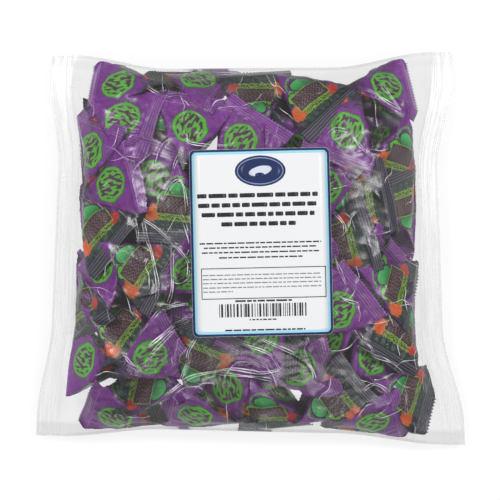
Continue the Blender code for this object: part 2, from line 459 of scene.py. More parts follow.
def film_haze(sh):
    """The film's milkiness: faint all over, more in streaks down the side seals and along the cut edges."""
    across, up = sh.uv()
    s = sh.size(sh.math("MULTIPLY_ADD", across, 2.0, -1.0))
    t = sh.size(sh.math("MULTIPLY_ADD", up, 2.0, -1.0))
    streak = sh.flat(sh.mul(across, STREAKS_ACROSS), sh.mul(up, STREAKS_UP))
    streaks = sh.inside(sh.spread(streak, 1.0, 1.0, 2.0), 0.8)
    seal = sh.inside(sh.sub(1 - SEAL_SHARE, s), 0.02)
    side_rim = sh.inside(sh.sub(RIM_ACROSS, s), RIM_SOFT)
    rim = sh.math("MAXIMUM", side_rim, sh.inside(sh.sub(RIM_UP, t), RIM_SOFT))
    extra = sh.add(sh.mul(sh.mul(streaks, seal), STREAK_HAZE), sh.mul(rim, RIM_HAZE))
    return sh.add(extra, FILM_HAZE)


def film_tint(sh):
    """The clear film's tint, greyer where it is folded under along the bottom and the top."""
    up = sh.uv()[1]
    bottom = sh.inside(sh.sub(up, BOTTOM_FOLD), BAND_SOFT)
    top = sh.inside(sh.sub(TOP_FOLD, up), BAND_SOFT)
    tint = sh.paint((FILM_TINT,) * 3, (TOP_GREY * FILM_TINT,) * 3, top)
    return sh.paint(tint, (BOTTOM_GREY * FILM_TINT,) * 3, bottom)


def film_material():
    """Thin clear film: it lets most light straight through, mirrors more at a slant, and veils a little."""
    sh = Shader("clear_film")
    clear = sh.node("ShaderNodeBsdfTransparent")
    sh.feed(clear.inputs[0], film_tint(sh))
    gloss = sh.node("ShaderNodeBsdfGlossy")
    gloss.inputs["Color"].default_value = (1.0, 1.0, 1.0, 1.0)
    gloss.inputs["Roughness"].default_value = 0.25
    veil = sh.node("ShaderNodeBsdfDiffuse")
    veil.inputs["Color"].default_value = (0.9, 0.9, 0.92, 1.0)
    fresnel = sh.node("ShaderNodeFresnel")
    fresnel.inputs["IOR"].default_value = 1.5
    normal = sh.bump(sh.spread(sh.place(), 45.0, 1.0, 2.0), 0.15, 0.4 * MM)
    sh.feed(gloss.inputs["Normal"], normal)
    sh.feed(fresnel.inputs["Normal"], normal)
    milky = sh.blend(film_haze(sh), clear.outputs[0], veil.outputs[0])
    sh.feed(sh.output.inputs[0], sh.blend(fresnel.outputs[0], milky, gloss.outputs[0]))
    return sh.material


def fold_material():
    """A sharp fold of film: white in patches, partly the whitening of bent film and partly a painted
    highlight for the glints along the creases; clear between.
    """
    sh = Shader("film_fold")
    clear = sh.node("ShaderNodeBsdfTransparent")
    clear.inputs[0].default_value = (0.97, 0.97, 0.97, 1.0)
    # Painted highlight, partly also the whitening of creased film.
    white = sh.node("ShaderNodeBsdfPrincipled")
    white.inputs["Base Color"].default_value = (0.92, 0.92, 0.95, 1.0)
    white.inputs["Roughness"].default_value = 0.25
    share = sh.math("MULTIPLY_ADD", sh.noise(sh.place(), 90.0, 3.0), 3.4, -1.15, clamp=True)
    sh.feed(sh.output.inputs[0], sh.blend(share, clear.outputs[0], white.outputs[0]))
    return sh.material


def paper_material(name, colour, change, roughness=0.35):
    """Coated paper, or ink on it: the colour drifts a little, and the surface has a fine tooth."""
    sh = Shader(name)
    place = sh.place()
    drift = sh.noise(place, 60.0, 3.0)
    other = tuple(min(c * change, 1.0) for c in colour)
    tooth = sh.bump(sh.noise(place, 2500.0, 2.0), 0.1, 0.05 * MM)
    return sh.principled(sh.paint(colour, other, drift), roughness, 0.15, 0.2, tooth)


# ---------------------------------------------------------------------------------------------
# The sachet
# ---------------------------------------------------------------------------------------------


def new_object(name, points, faces, uvs, materials, face_materials=None):
    """A smooth mesh object from points, faces and, if given, one (u, v) for each face corner."""
    mesh = bpy.data.meshes.new(name)
    mesh.from_pydata(np.asarray(points).tolist(), [], faces)
    if uvs is not None:
        layer = mesh.uv_layers.new(name="UVMap")
        layer.data.foreach_set("uv", np.asarray(uvs, np.float32).ravel())
    for material in materials:
        mesh.materials.append(material)
    if face_materials is not None:
        mesh.polygons.foreach_set("material_index", face_materials)
    mesh.shade_smooth()
    made = bpy.data.objects.new(name, mesh)
    bpy.context.scene.collection.objects.link(made)
    return made


def waves(rng, u, v, count, wavelength):
    """A smooth random field over u and v, about -1 to 1, with about that wavelength."""
    total = np.zeros(np.broadcast(u, v).shape)
    for _ in range(count):
        angle, phase = rng.uniform(0, 2 * math.pi, 2)
        rate = 2 * math.pi / (wavelength * rng.uniform(0.7, 1.5))
        total = total + np.sin(rate * (u * math.cos(angle) + v * math.sin(angle)) + phase)
    return total / math.sqrt(count)


def section(t, share):
    """The point at a share of the way round the tube, flat along x where t is 0 and along y at 1."""
    hx, hy = SACHET_WIDTH / 2 * (1 - t), SACHET_WIDTH / 2 * t
    s = share * 2 * SACHET_WIDTH
    turns = [hx, hx + 2 * hy, 3 * hx + 2 * hy, 3 * hx + 4 * hy]
    past = [s >= turn for turn in turns]
    x = np.where(past[0], hx, s)
    x = np.where(past[1], hx - (s - turns[1]), x)
    x = np.where(past[2], -hx, x)
    x = np.where(past[3], s - turns[3] - hx, x)
    y = np.where(past[0], hy - (s - turns[0]), hy)
    y = np.where(past[1], -hy, y)
    y = np.where(past[2], s - turns[2] - hy, y)
    y = np.where(past[3], hy, y)
    return x, y


def outward(points):
    """Unit normals of a grid of points (rows, columns, 3) that closes round its columns."""
    across = np.roll(points, -1, axis=1) - np.roll(points, 1, axis=1)
    normal = np.cross(np.gradient(points, axis=0), across)
    return normal / np.maximum(np.linalg.norm(normal, axis=2, keepdims=True), 1e-12)


def bean_bumps(rng, around_mm, along_mm):
    """The sweets inside, where they press on the film."""
    total = np.zeros(np.broadcast(around_mm, along_mm).shape)
    for _ in range(SWEETS):
        gap = np.abs(around_mm - rng.uniform(0, ROUND_mm))
        gap = np.minimum(gap, ROUND_mm - gap)
        rise = along_mm - rng.uniform(9, FACE_mm - 9)
        total = total + rng.uniform(0.5, 1.5) * np.exp(-(gap**2 + rise**2) / rng.uniform(14, 40))
    return total


def sachet_body(rng, share):
    """The tube between the seals, as rows of points."""
    t = np.linspace(0, 1, SACHET_ALONG + 1)[:, None]
    x, y = section(t, share)
    angle = 2 * math.pi * share
    swell = SACHET_WIDTH / 2 * (1 + 0.273 * np.sin(math.pi * t))
    ex, ey = swell * (1 - t) * np.sin(angle), swell * t * np.cos(angle)
    puff = rng.uniform(0.25, 0.5) * np.sin(math.pi * t) ** 0.8
    points = np.stack([mix(x, ex, puff), mix(y, ey, puff), t * SACHET_DEPTH + 0 * x], axis=2)
    middle = np.sin(math.pi * t) ** 0.6
    around_mm, along_mm = share * ROUND_mm, t * FACE_mm
    ring = ROUND_mm / (2 * math.pi)
    rx, ry = ring * np.sin(angle) + 0 * t, ring * np.cos(angle) + along_mm
    dents = 0.5 * waves(rng, rx, ry, 5, 15.0)
    folds = 0.45 * (1 - np.abs(waves(rng, rx, ry, 4, 8.0)))
    gathers = np.sin(around_mm * 1.35 + 2.5 * waves(rng, rx, ry, 3, 22.0))
    reach = np.exp(-along_mm / 6.0) + np.exp(-(FACE_mm - along_mm) / 6.0)
    push = middle * (bean_bumps(rng, around_mm, along_mm) + dents + folds)
    push = push + 0.45 * gathers * reach * np.minimum(3 * middle, 1)
    return points + outward(points) * (push[:, :, None] * MM)


def sachet_fin(share, end, bend, phase):
    """The rows of one sealed end, outwards from its line. end is -1 for the dark seal, 1 for the purple."""
    x, y = section(np.full(share.shape, 0.0 if end < 0 else 1.0), share)
    side = x if end < 0 else y
    step = SACHET_FIN / SACHET_FIN_ROWS
    out = off = 0.0
    rows = []
    for row in range(1, SACHET_FIN_ROWS + 1):
        part = row / SACHET_FIN_ROWS
        angle = bend * min(2.5 * part, 1.0)
        out += step * math.cos(angle)
        off += step * math.sin(angle)
        curl = 1.1 * MM * part * np.sin(side / SACHET_WIDTH * 5.5 + phase)
        rib = 0.0 if row == SACHET_FIN_ROWS else SACHET_RIB * (0, 1, -1)[row % 3]
        teeth = SACHET_TOOTH * (np.arange(len(share)) % 2) * (row == SACHET_FIN_ROWS)
        lift = off + curl + rib * math.cos(angle)
        along = end * (out + teeth) + (0.0 if end < 0 else SACHET_DEPTH)
        where = (x, lift, along) if end < 0 else (lift, y, along)
        rows.append(np.stack(where, axis=1))
    return rows


def sachet_points(seed, bends):
    """The points of one sachet, a row at a time. Its local z runs from the dark seal to the purple seal."""
    rng = np.random.default_rng(seed)
    share = np.arange(SACHET_AROUND) / SACHET_AROUND
    body = sachet_body(rng, share)
    dark = sachet_fin(share, -1, bends[0], rng.uniform(0, 6.28))
    purple = sachet_fin(share, 1, bends[1], rng.uniform(0, 6.28))
    rows = np.array([*dark[::-1], *body, *purple])
    rows[:, :, 0] += SACHET_FILM * np.sin(2 * math.pi * share)
    rows[:, :, 1] += SACHET_FILM * np.cos(2 * math.pi * share)
    rows[:, :, 2] -= SACHET_DEPTH / 2
    return rows.reshape(-1, 3)


def sachet_faces():
    """The faces of a sachet, and their corners' (u, v): u round the tube, v in tenths of a metre."""
    n = SACHET_AROUND
    fin = SACHET_FIN * np.arange(1, SACHET_FIN_ROWS + 1) / SACHET_FIN_ROWS
    body = np.linspace(0, SACHET_SLANT, SACHET_ALONG + 1)
    heights = np.concatenate([-fin[::-1], body, SACHET_SLANT + fin]) * 10
    faces, uvs = [], []
    for j in range(len(heights) - 1):
        low, high = heights[j], heights[j + 1]
        for i in range(n):
            k = (i + 1) % n
            a, b = i / n, (i + 1) / n
            faces.append((j * n + i, (j + 1) * n + i, (j + 1) * n + k, j * n + k))
            uvs += [(a, low), (a, high), (b, high), (b, low)]
    last = len(heights) - 1
    for i in range(-n // 4, n // 4):
        close_end(faces, uvs, [i, i + 1, n // 2 - i - 1, n // 2 - i], 0, heights[0])
    for i in range(n // 2):
        close_end(faces, uvs, [-i, -i - 1, i + 1, i], last, heights[last])
    return faces, uvs


def close_end(faces, uvs, corners, row, height):
    """A face across the thin edge of a seal, from one layer of film to the other."""
    ring = list(dict.fromkeys(corner % SACHET_AROUND for corner in corners))
    faces.append(tuple(row * SACHET_AROUND + corner for corner in ring))
    uvs += [(corner / SACHET_AROUND, height) for corner in ring]


# ---------------------------------------------------------------------------------------------
# The bag's shape, read from the CAD
# ---------------------------------------------------------------------------------------------


def tree_of(objects):
    """A search tree over the faces of these objects, which all sit at the origin."""
    points, faces = [], []
    for made in objects:
        first = len(points)
        points += [tuple(v.co) for v in made.data.vertices]
        faces += [tuple(first + i for i in face.vertices) for face in made.data.polygons]
    return BVHTree.FromPolygons(points, faces)


def heights_on(tree, x, y, above, missing):
    """The height of the first face met from above, or from below, at each x and y, or else missing."""
    start, way = (1.0, Vector((0, 0, -1))) if above else (-1.0, Vector((0, 0, 1)))
    found = np.full(x.size, missing)
    for i, (px, py) in enumerate(zip(x.ravel(), y.ravel())):
        hit = tree.ray_cast(Vector((px, py, start)), way)[0]
        if hit is not None:
            found[i] = hit.z
    return found.reshape(x.shape)


class Envelope:
    """The bag's upper and lower heights on a square grid, with their slopes."""

    STEP = 3 * MM
    FLAT = 8 * MM
    COLUMNS, ROWS = 85, 79

    def __init__(self, tree):
        self.x0, self.y0 = -126 * MM, -117 * MM
        xs = self.x0 + self.STEP * np.arange(self.COLUMNS)
        ys = self.y0 + self.STEP * np.arange(self.ROWS)
        x, y = np.meshgrid(xs, ys, indexing="ij")
        self.top = heights_on(tree, x, y, True, self.FLAT) - PRESS
        self.bottom = heights_on(tree, x, y, False, self.FLAT)
        self.top_slope = np.gradient(self.top, self.STEP)
        self.bottom_slope = np.gradient(self.bottom, self.STEP)

    def read(self, grid, x, y):
        fx = np.clip((x - self.x0) / self.STEP, 0, grid.shape[0] - 1.001)
        fy = np.clip((y - self.y0) / self.STEP, 0, grid.shape[1] - 1.001)
        i, j = fx.astype(int), fy.astype(int)
        a, b = fx - i, fy - j
        low = mix(grid[i, j], grid[i + 1, j], a)
        high = mix(grid[i, j + 1], grid[i + 1, j + 1], a)
        return mix(low, high, b)

    def push(self, points, radii):
        """How far each ball must move to come back inside the bag."""
        x, y, z = points[..., 0], points[..., 1], points[..., 2]
        moved = np.zeros(points.shape)
        sides = ((self.top, self.top_slope, 1.0), (self.bottom, self.bottom_slope, -1.0))
        for grid, slope, way in sides:
            dx, dy = self.read(slope[0], x, y), self.read(slope[1], x, y)
            steep = np.sqrt(1 + dx * dx + dy * dy)
            over = np.maximum(way * (z - self.read(grid, x, y)) / steep + radii, 0)
            moved -= np.stack([-way * dx, -way * dy, way + 0 * dx], axis=-1) * (over / steep)[..., None]
        return moved


def waist(along):
    return 1.0 - ease(WAIST_FULL, WAIST_NONE, np.abs(along))


def plan(s, t):
    """The x and y of a point of the film, where s and t run from -1 to 1 across and up the bag."""
    left = mix(CORNERS["left", "bottom"][0], CORNERS["left", "top"][0], (t + 1) / 2)
    right = mix(CORNERS["right", "bottom"][0], CORNERS["right", "top"][0], (t + 1) / 2)
    left = left + WAIST["left"] * waist(t)
    right = right - WAIST["right"] * waist(t)
    bottom = mix(CORNERS["left", "bottom"][1], CORNERS["right", "bottom"][1], (s + 1) / 2)
    top = mix(CORNERS["left", "top"][1], CORNERS["right", "top"][1], (s + 1) / 2)
    bottom = bottom + WAIST["bottom"] * waist(s)
    top = top - WAIST["top"] * waist(s)
    return mix(left, right, (s + 1) / 2), mix(bottom, top, (t + 1) / 2)


def inwards(points, radii):
    """How far each ball must move, level, to come back within the reach of the sachets."""
    x, y = points[..., 0], points[..., 1]
    s, t = x / HALF_ACROSS, y / HALF_UP
    for _ in range(3):
        px, py = plan(s, t)
        s, t = s + (x - px) / HALF_ACROSS, t + (y - py) / HALF_UP
    px, py = plan(np.clip(s, -REACH_ACROSS, REACH_ACROSS), np.clip(t, -REACH_UP, REACH_UP))
    return np.stack([px - x, py - y, 0 * x], axis=-1)


# ---------------------------------------------------------------------------------------------
# Laying the sachets in the bag
# ---------------------------------------------------------------------------------------------


def sachet_balls():
    """Balls that fill a sachet, as centres and radii."""
    rows = []
    balls_mm = ((18, 16, 1.6), (10, 14.5, 3.0), (0, 13, 4.5), (12, 9.5, 4.0), (6.5, 7.5, 6.0))
    for end in (-1, 1):
        for side, up, radius in balls_mm:
            for way in {side, -side}:
                across = (way, 0) if end < 0 else (0, way)
                rows.append((*across, end * up, radius))
    rows += [(x, y, 0, 5.5) for x in (-5.5, 5.5) for y in (-5.5, 5.5)]
    rows.append((0, 0, 0, 9.5))
    rows = np.array(sorted(rows)) * MM
    return rows[:, :3], rows[:, 3]


def turn_about(axis, degrees):
    """Matrices that turn about one of the axes, 0 to 2."""
    angle = np.radians(degrees)
    c, s = np.cos(angle), np.sin(angle)
    made = np.zeros((*np.shape(angle), 3, 3))
    i, j = (axis + 1) % 3, (axis + 2) % 3
    made[..., axis, axis] = 1
    made[..., i, i], made[..., j, j] = c, c
    made[..., i, j], made[..., j, i] = -s, s
    return made


def turn_by(vectors):
    """Matrices that turn by each vector, whose length is the angle."""
    angle = np.linalg.norm(vectors, axis=1)[:, None, None]
    axis = vectors / np.maximum(np.linalg.norm(vectors, axis=1, keepdims=True), 1e-12)
    x, y, z = axis.T
    zero = np.zeros(len(x))
    cross = np.stack([zero, -z, y, z, zero, -x, -y, x, zero], axis=1).reshape(-1, 3, 3)
    return np.eye(3) + np.sin(angle) * cross + (1 - np.cos(angle)) * cross @ cross


def attitude(turn, roll, lift):
    """Turns that lay local z along turn. At roll 0 a face over the dark seal is up, level but for lift."""
    upright = np.array([[0.0, 0.0, 1.0], [1.0, 0.0, 0.0], [0.0, 1.0, 0.0]])
    dip = (FACE_TILT + lift) * np.cos(2 * np.radians(roll))
    return turn_about(2, turn) @ turn_about(1, dip) @ upright @ turn_about(2, roll)


def chosen_places(envelope):
    """Where each sachet starts: the ones that show, as listed, and the rest in the widest gaps under them.
    """
    rng = np.random.default_rng(BACK_SEED)
    rows = [list(row) for row in FRONT_mm]
    across = np.arange(-SPOT_ACROSS_mm, SPOT_ACROSS_mm + 1, SPOT_STEP_mm)
    up = np.arange(-SPOT_UP_mm, SPOT_UP_mm + 1, SPOT_STEP_mm)
    x, y = np.meshgrid(across, up, indexing="ij")
    spots = np.stack([x.ravel(), y.ravel()], axis=1)
    label_x, label_y, half_width, half_height = LABEL_SPOTS_mm
    hidden = (np.abs(spots[:, 0] - label_x) < half_width) & (np.abs(spots[:, 1] - label_y) < half_height)
    while len(rows) < COUNT:
        placed = np.array(rows)[:, :2]
        far = np.linalg.norm(spots[:, None] - placed[None, :], axis=2).min(axis=1) - 6 * hidden
        widest = spots[far.argmax()]
        rows.append([*widest, rng.uniform(0, 360), rng.uniform(0, 360), AS_LOW_AS_FITS, 0])
    rows = np.array(rows, float)
    x, y, under = rows[:, 0] * MM, rows[:, 1] * MM, rows[:, 4] * MM
    top, bottom = envelope.read(envelope.top, x, y), envelope.read(envelope.bottom, x, y)
    z = np.maximum(top - LYING_HALF - under, bottom + LYING_HALF)
    return np.stack([x, y, z], axis=1), attitude(rows[:, 2], rows[:, 3], rows[:, 5])


def settle(envelope):
    """Places and turns of the sachets, pushed apart and into the bag but held near where they start."""
    home, start = chosen_places(envelope)
    places, turns = home.copy(), start.copy()
    local, radii = sachet_balls()
    count, balls = len(home), len(local)
    owner = np.repeat(np.arange(count), balls)
    apart = owner[:, None] != owner[None, :]
    shown = (np.arange(count) < len(FRONT_mm))[:, None]
    give = np.where(shown, 0.5, 1.0)
    reach = radii[np.arange(count * balls) % balls]
    reach = reach[:, None] + reach[None, :] - SETTLE_OVERLAP
    for step in range(SETTLE_STEPS):
        arms = np.einsum("nij,mj->nmi", turns, local)
        points = places[:, None] + arms
        flat = points.reshape(-1, 3)
        gaps = flat[:, None] - flat[None, :]
        far = np.sqrt((gaps**2).sum(axis=2)) + 1e-9
        over = np.maximum(reach - far, 0) * apart
        push = (gaps * (over / far * 0.5)[:, :, None]).sum(axis=1).reshape(points.shape)
        push += envelope.push(points, radii) + inwards(points, radii)
        touching = np.maximum((np.abs(push).sum(axis=2) > 0).sum(axis=1), 1)[:, None]
        places += push.sum(axis=1) / touching * give
        spin = np.cross(arms, push).sum(axis=1) / ((arms**2).sum(axis=(1, 2))[:, None] + 1e-12)
        turns = turn_by(spin * SETTLE_SPIN) @ turns
        hold = SETTLE_HOLD * (1 - step / SETTLE_STEPS)
        places += (home - places) * np.where(shown, 2 * hold, 0.3 * hold) * (1, 1, 0.6)
        back = start @ np.transpose(turns, (0, 2, 1))
        skew = back - np.transpose(back, (0, 2, 1))
        axis = np.stack([skew[:, 2, 1], skew[:, 0, 2], skew[:, 1, 0]])
        turns = turn_by(axis.T * 0.5 * hold) @ turns
    return places, turns


def fin_bends(places, turns, envelope):
    """For each sealed end, the bend that best keeps its fin clear of other sachets and inside the bag."""
    local, radii = sachet_balls()
    points = places[:, None] + np.einsum("nij,mj->nmi", turns, local)
    side = np.linspace(-0.9, 0.9, 5) * SACHET_WIDTH / 2
    bends = np.zeros((len(places), 2))
    for i in range(len(places)):
        others = np.delete(points, i, axis=0).reshape(-1, 3)
        sizes = np.tile(radii, len(places) - 1)
        for end in (0, 1):
            best = None
            for bend in FIN_BENDS:
                fin = []
                for share in (0.4, 0.7, 1.0):
                    out, off = SACHET_FIN * share * math.cos(bend), SACHET_FIN * share * math.sin(bend)
                    along = (out + SACHET_DEPTH / 2) * (1 if end else -1)
                    fin += [(off, s, along) if end else (s, off, along) for s in side]
                fin = places[i] + np.array(fin) @ turns[i].T
                far = np.linalg.norm(fin[:, None] - others[None, :], axis=2)
                cost = 0.5 * np.maximum(sizes - far, 0).sum() + 5 * MM * abs(bend)
                cost += 2 * np.abs(envelope.push(fin, MM) + inwards(fin, MM)).sum()
                if best is None or cost < best:
                    best, bends[i, end] = cost, bend
    return bends


def make_sachets(envelope, material):
    places, turns = settle(envelope)
    bends = fin_bends(places, turns, envelope)
    faces, uvs = sachet_faces()
    made = []
    for i, (place, turn) in enumerate(zip(places, turns)):
        points = sachet_points(100 + i, bends[i]) @ turn.T + place
        for _ in range(4):
            points += inwards(points, 0.0) + envelope.push(points, 0.6 * MM)
        sachet = new_object(f"sachet_{i + 1:02d}", points, faces, uvs, [material])
        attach(sachet, "root")
        made.append(sachet)
    return made


# ---------------------------------------------------------------------------------------------
# The film
# ---------------------------------------------------------------------------------------------


def film_grid(columns, rows):
    """The s and t of a film sheet's points."""
    return np.meshgrid(np.linspace(-1, 1, columns + 1), np.linspace(-1, 1, rows + 1), indexing="ij")


def relax(heights, floor, fixed, steps, pull):
    """A stretched sheet that sinks onto what is under it."""
    kept = heights.copy()
    for _ in range(steps):
        around = np.roll(heights, 1, 0) + np.roll(heights, -1, 0)
        around = around + np.roll(heights, 1, 1) + np.roll(heights, -1, 1)
        heights = np.where(fixed, kept, np.maximum(around / 4 - pull, floor))
    return heights


# Creases of the front film that catch the light: height and half width, then the corners, all in mm.
CREASES_mm = (
    (0.7, 0.9, ((-58.5, 16), (-52, 12), (-45, 5), (-38, -2), (-33.5, -8), (-34, -16))),
    (0.7, 0.9, ((-58.5, 14), (-56, 4), (-54.5, 0), (-52, -12), (-50.5, -20), (-51, -28))),
    (0.6, 0.9, ((-48, 25), (-44, 33), (-39, 37), (-36, 32), (-34.5, 20))),
    (0.6, 0.9, ((-38, 20), (-34, 8), (-33, 0), (-34, -4))),
    (0.6, 1.6, ((-42.5, -1), (-42.5, -20), (-45, -31))),
    (0.7, 0.9, ((-30, -30), (-40, -31), (-48, -33), (-53, -38), (-60, -46))),
    (0.7, 0.9, ((-33, -37), (-42, -42), (-50, -49), (-55, -53), (-60, -54))),
    (0.6, 0.9, ((-33, -39), (-42, -45), (-50, -53), (-56, -60), (-60, -67))),
    (0.6, 1.0, ((-69, -58), (-66, -62), (-60, -66))),
    (0.7, 1.0, ((-30, -49), (-34, -57), (-35, -63), (-38, -72))),
    (0.7, 1.0, ((-30, -69), (-36, -72), (-42, -77), (-52, -86))),
    (0.8, 1.1, ((-36, -72), (-30, -69.5), (-18, -67), (-10, -65.5), (0, -67), (6, -68), (16, -66.5))),
    (0.4, 1.0, ((-20, -68), (0, -70), (12, -72))),
    (0.7, 1.0, ((-6, -51), (10, -57.5), (16, -66))),
    (0.7, 1.0, ((5, -49), (24, -57.5), (33, -65), (35, -71))),
    (0.6, 1.0, ((27, -46), (31, -50), (29, -55), (34, -68))),
    (0.6, 1.0, ((-40, 67), (-35, 62), (-33.5, 58), (-24, 56), (-12, 56))),
    (0.5, 0.9, ((-38, 54), (-42, 43))),
    (0.6, 1.0, ((-57, 89), (-52, 86), (-47.5, 84), (-40, 85))),
    (0.4, 1.0, ((-62.5, 17), (-61, 2))),
    (0.6, 0.9, ((40, 59), (46, 65), (53, 64), (48, 61), (42, 59))),
    (0.6, 0.9, ((55, 62), (60, 56), (66, 50))),
    (0.6, 0.9, ((63, 88), (72, 83), (83, 76))),
    (0.5, 0.9, ((62, 96), (70, 92), (75, 87), (85, 73))),
    (0.5, 0.9, ((45, 20), (51, 13), (51, 9))),
    (0.6, 0.9, ((45, -3), (48, -10), (52, -20))),
    (0.6, 0.9, ((45, -23), (52, -28), (59, -30))),
    (0.6, 1.0, ((56, -44), (60, -50), (66, -54), (68, -60))),
    (0.6, 1.0, ((66, -58), (74, -61), (81, -64))),
    (0.5, 1.0, ((84, -75), (86, -84), (86, -92))),
    (0.5, 1.2, ((62, -78), (68, -74), (76, -79))),
    (0.5, 1.4, ((-20, 97), (2, 98), (24, 104))),
    (0.5, 1.4, ((-98, 80), (-94, 60), (-92, 40))),
    (0.5, 1.4, ((96, 70), (94, 45), (95, 20))),
    (0.5, 1.4, ((-101, -60), (-98, -40), (-97, -20))),
    (0.5, 1.4, ((97, -80), (95, -60), (93, -40))),
)
SHORT_CREASES, SHORT_SEED = 120, 21
FOLD_SPREAD, FOLD_HALF, FOLD_LIFT = 0.55 * MM, 0.26 * MM, 0.06 * MM


def short_creases():
    """Small creases anywhere on the film, the same at each call, each a line through four corners."""
    rng = np.random.default_rng(SHORT_SEED)
    rows = []
    for _ in range(SHORT_CREASES):
        x, y = rng.uniform(-105, 105), rng.uniform(-98, 98)
        angle = rng.uniform(0, 2 * math.pi)
        corners = [(x, y)]
        for _ in range(3):
            angle += rng.uniform(-0.7, 0.7)
            length = rng.uniform(2, 8)
            x, y = x + length * math.cos(angle), y + length * math.sin(angle)
            corners.append((x, y))
        rows.append((rng.uniform(0.12, 0.4), rng.uniform(0.8, 1.2), corners))
    return rows


def crease_height(x, y, height, half, corners):
    """A raised line through the corners that fades at both ends."""
    corners = np.array(corners) * MM
    steps = np.diff(corners, axis=0)
    lengths = np.linalg.norm(steps, axis=1)
    starts = np.cumsum([0, *lengths])
    off, along = np.full(x.shape, np.inf), np.zeros(x.shape)
    for (cx, cy), (ux, uy), length, start in zip(corners, steps / lengths[:, None], lengths, starts):
        part = np.clip((x - cx) * ux + (y - cy) * uy, 0, length)
        gap = np.hypot(x - cx - part * ux, y - cy - part * uy)
        along = np.where(gap < off, start + part, along)
        off = np.minimum(off, gap)
    fade = 0.15 * starts[-1]
    ends = ease(0, fade, along) * ease(0, fade, starts[-1] - along)
    return height * MM * ends * np.exp(-((off / (half * MM)) ** 2))


def crease_heights(x, y):
    """The raised lines of all the creases."""
    total = np.zeros(x.shape)
    for height, half, corners in (*CREASES_mm, *short_creases()):
        total = np.maximum(total, crease_height(x, y, height, half, corners))
    return total


def rumples(x, y):
    """The fine unevenness of limp film, as crossing ridges."""
    rng = np.random.default_rng(12)
    return RUMPLE * (1 - 2 * np.abs(waves(rng, x, y, 5, 2 * RUMPLE_PITCH)))


def rib_heights(s, x):
    """The ribs that the sealing bars leave down both side seals."""
    side = np.abs(s)
    in_seal = ease(1 - SEAL_SHARE, 1 - SEAL_SHARE * 0.9, side) * ease(0, SEAL_SHARE * 0.15, 1 - side)
    return in_seal * SEAL_RIB_HEIGHT * np.sin(2 * math.pi * x / SEAL_RIB_PITCH)


def sheet_faces(columns, rows, over=True, start=0):
    """The faces of a grid of points, which face up when over is true."""
    faces = []
    for i in range(columns - 1):
        for j in range(rows - 1):
            a = start + i * rows + j
            ring = (a, a + rows, a + rows + 1, a + 1)
            faces.append(ring if over else ring[::-1])
    return faces


def sheet_object(name, s, t, z, material, over):
    """A sheet of film whose UV map holds s and t, turned into shares from 0 to 1."""
    x, y = plan(s, t)
    points = np.stack([x, y, z], axis=2).reshape(-1, 3)
    made = new_object(name, points, sheet_faces(*x.shape, over), None, [material])
    index = np.empty(len(made.data.loops), np.int32)
    made.data.loops.foreach_get("vertex_index", index)
    shares = np.stack([s, t], axis=2).reshape(-1, 2) / 2 + 0.5
    layer = made.data.uv_layers.new(name="UVMap")
    layer.data.foreach_set("uv", shares[index].astype(np.float32).ravel())
    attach(made, "root")
    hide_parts("bag")
    return made


def make_front_film(bag_tree, contents, label, material):
    """The front sheet, draped over the sachets and held flat under the label."""
    s, t = film_grid(FILM_COLUMNS, FILM_ROWS)
    x, y = plan(s, t)
    crown = heights_on(bag_tree, *plan(s * EDGE_INSET, t * EDGE_INSET), True, 6 * MM)
    under = heights_on(contents, x, y, True, -1.0) + FILM_GAP
    lx, ly = label.local(x, y)
    beyond = label.distance(lx, ly)
    stuck = beyond < 0
    at_edge = (np.abs(s) > 1 - SEAL_SHARE) | (np.abs(t) > EDGE_INSET)
    start = np.where(stuck, label.height(lx, ly) - LABEL_GAP, crown)
    z = relax(start, under, at_edge | stuck, FILM_STEPS, FILM_PULL)
    loose = ease(0, 0.1, 1 - np.abs(t)) * ease(0, 0.06, 1 - SEAL_SHARE - np.abs(s))
    z = z + (crease_heights(x, y) + rumples(x, y)) * loose * ease(0, 7 * MM, beyond)
    return sheet_object("bag_film_front", s, t, z + rib_heights(s, x), material, True)


def make_back_film(bag_tree, contents, material):
    """The back sheet, flat where the bag lies on it and drawn up to the sachets round that."""
    s, t = film_grid(BACK_COLUMNS, BACK_ROWS)
    x, y = plan(s, t)
    base = heights_on(bag_tree, *plan(s * EDGE_INSET, t * EDGE_INSET), False, 6 * MM)
    over = heights_on(contents, x, y, False, 1.0) - FILM_GAP
    at_edge = (np.abs(s) > 1 - SEAL_SHARE) | (np.abs(t) > EDGE_INSET)
    z = -relax(-base, -over, at_edge, BACK_STEPS, FILM_PULL)
    z = np.maximum(z, 0.0)
    return sheet_object("bag_film_back", s, t, z + rib_heights(s, x) * (base > 1 * MM), material, False)


def curve_through(corners, parts=7):
    """Points along a smooth curve through the corners, and the level unit normal at each."""
    knots = np.array([corners[0], *corners, corners[-1]], float) * MM
    share = np.arange(parts)[:, None] / parts
    rows = []
    for a, b, c, d in zip(knots, knots[1:], knots[2:], knots[3:]):
        level = 2 * b + (c - a) * share
        curved = (2 * a - 5 * b + 4 * c - d) * share**2 + (3 * b - a - 3 * c + d) * share**3
        rows.append((level + curved) / 2)
    points = np.concatenate([*rows, knots[-1:]])
    along = np.gradient(points, axis=0)
    along /= np.maximum(np.linalg.norm(along, axis=1, keepdims=True), 1e-9)
    return points, np.stack([-along[:, 1], along[:, 0]], axis=1)


def fold_points(rng, corners, offset, half):
    """The level places of one narrow fold: its two feet and its top, a row for each point along it."""
    middle, normal = curve_through(corners)
    share = np.linspace(0, 1, len(middle))
    phase = rng.uniform(0, 6.28, 2)
    sway = offset + 0.25 * MM * np.sin(9 * share + phase[0])
    wide = half * (0.25 + np.sin(math.pi * share) ** 0.6) * (0.75 + 0.25 * np.sin(17 * share + phase[1]))
    middle = middle + normal * sway[:, None]
    return np.stack([middle - normal * wide[:, None], middle, middle + normal * wide[:, None]], axis=1)


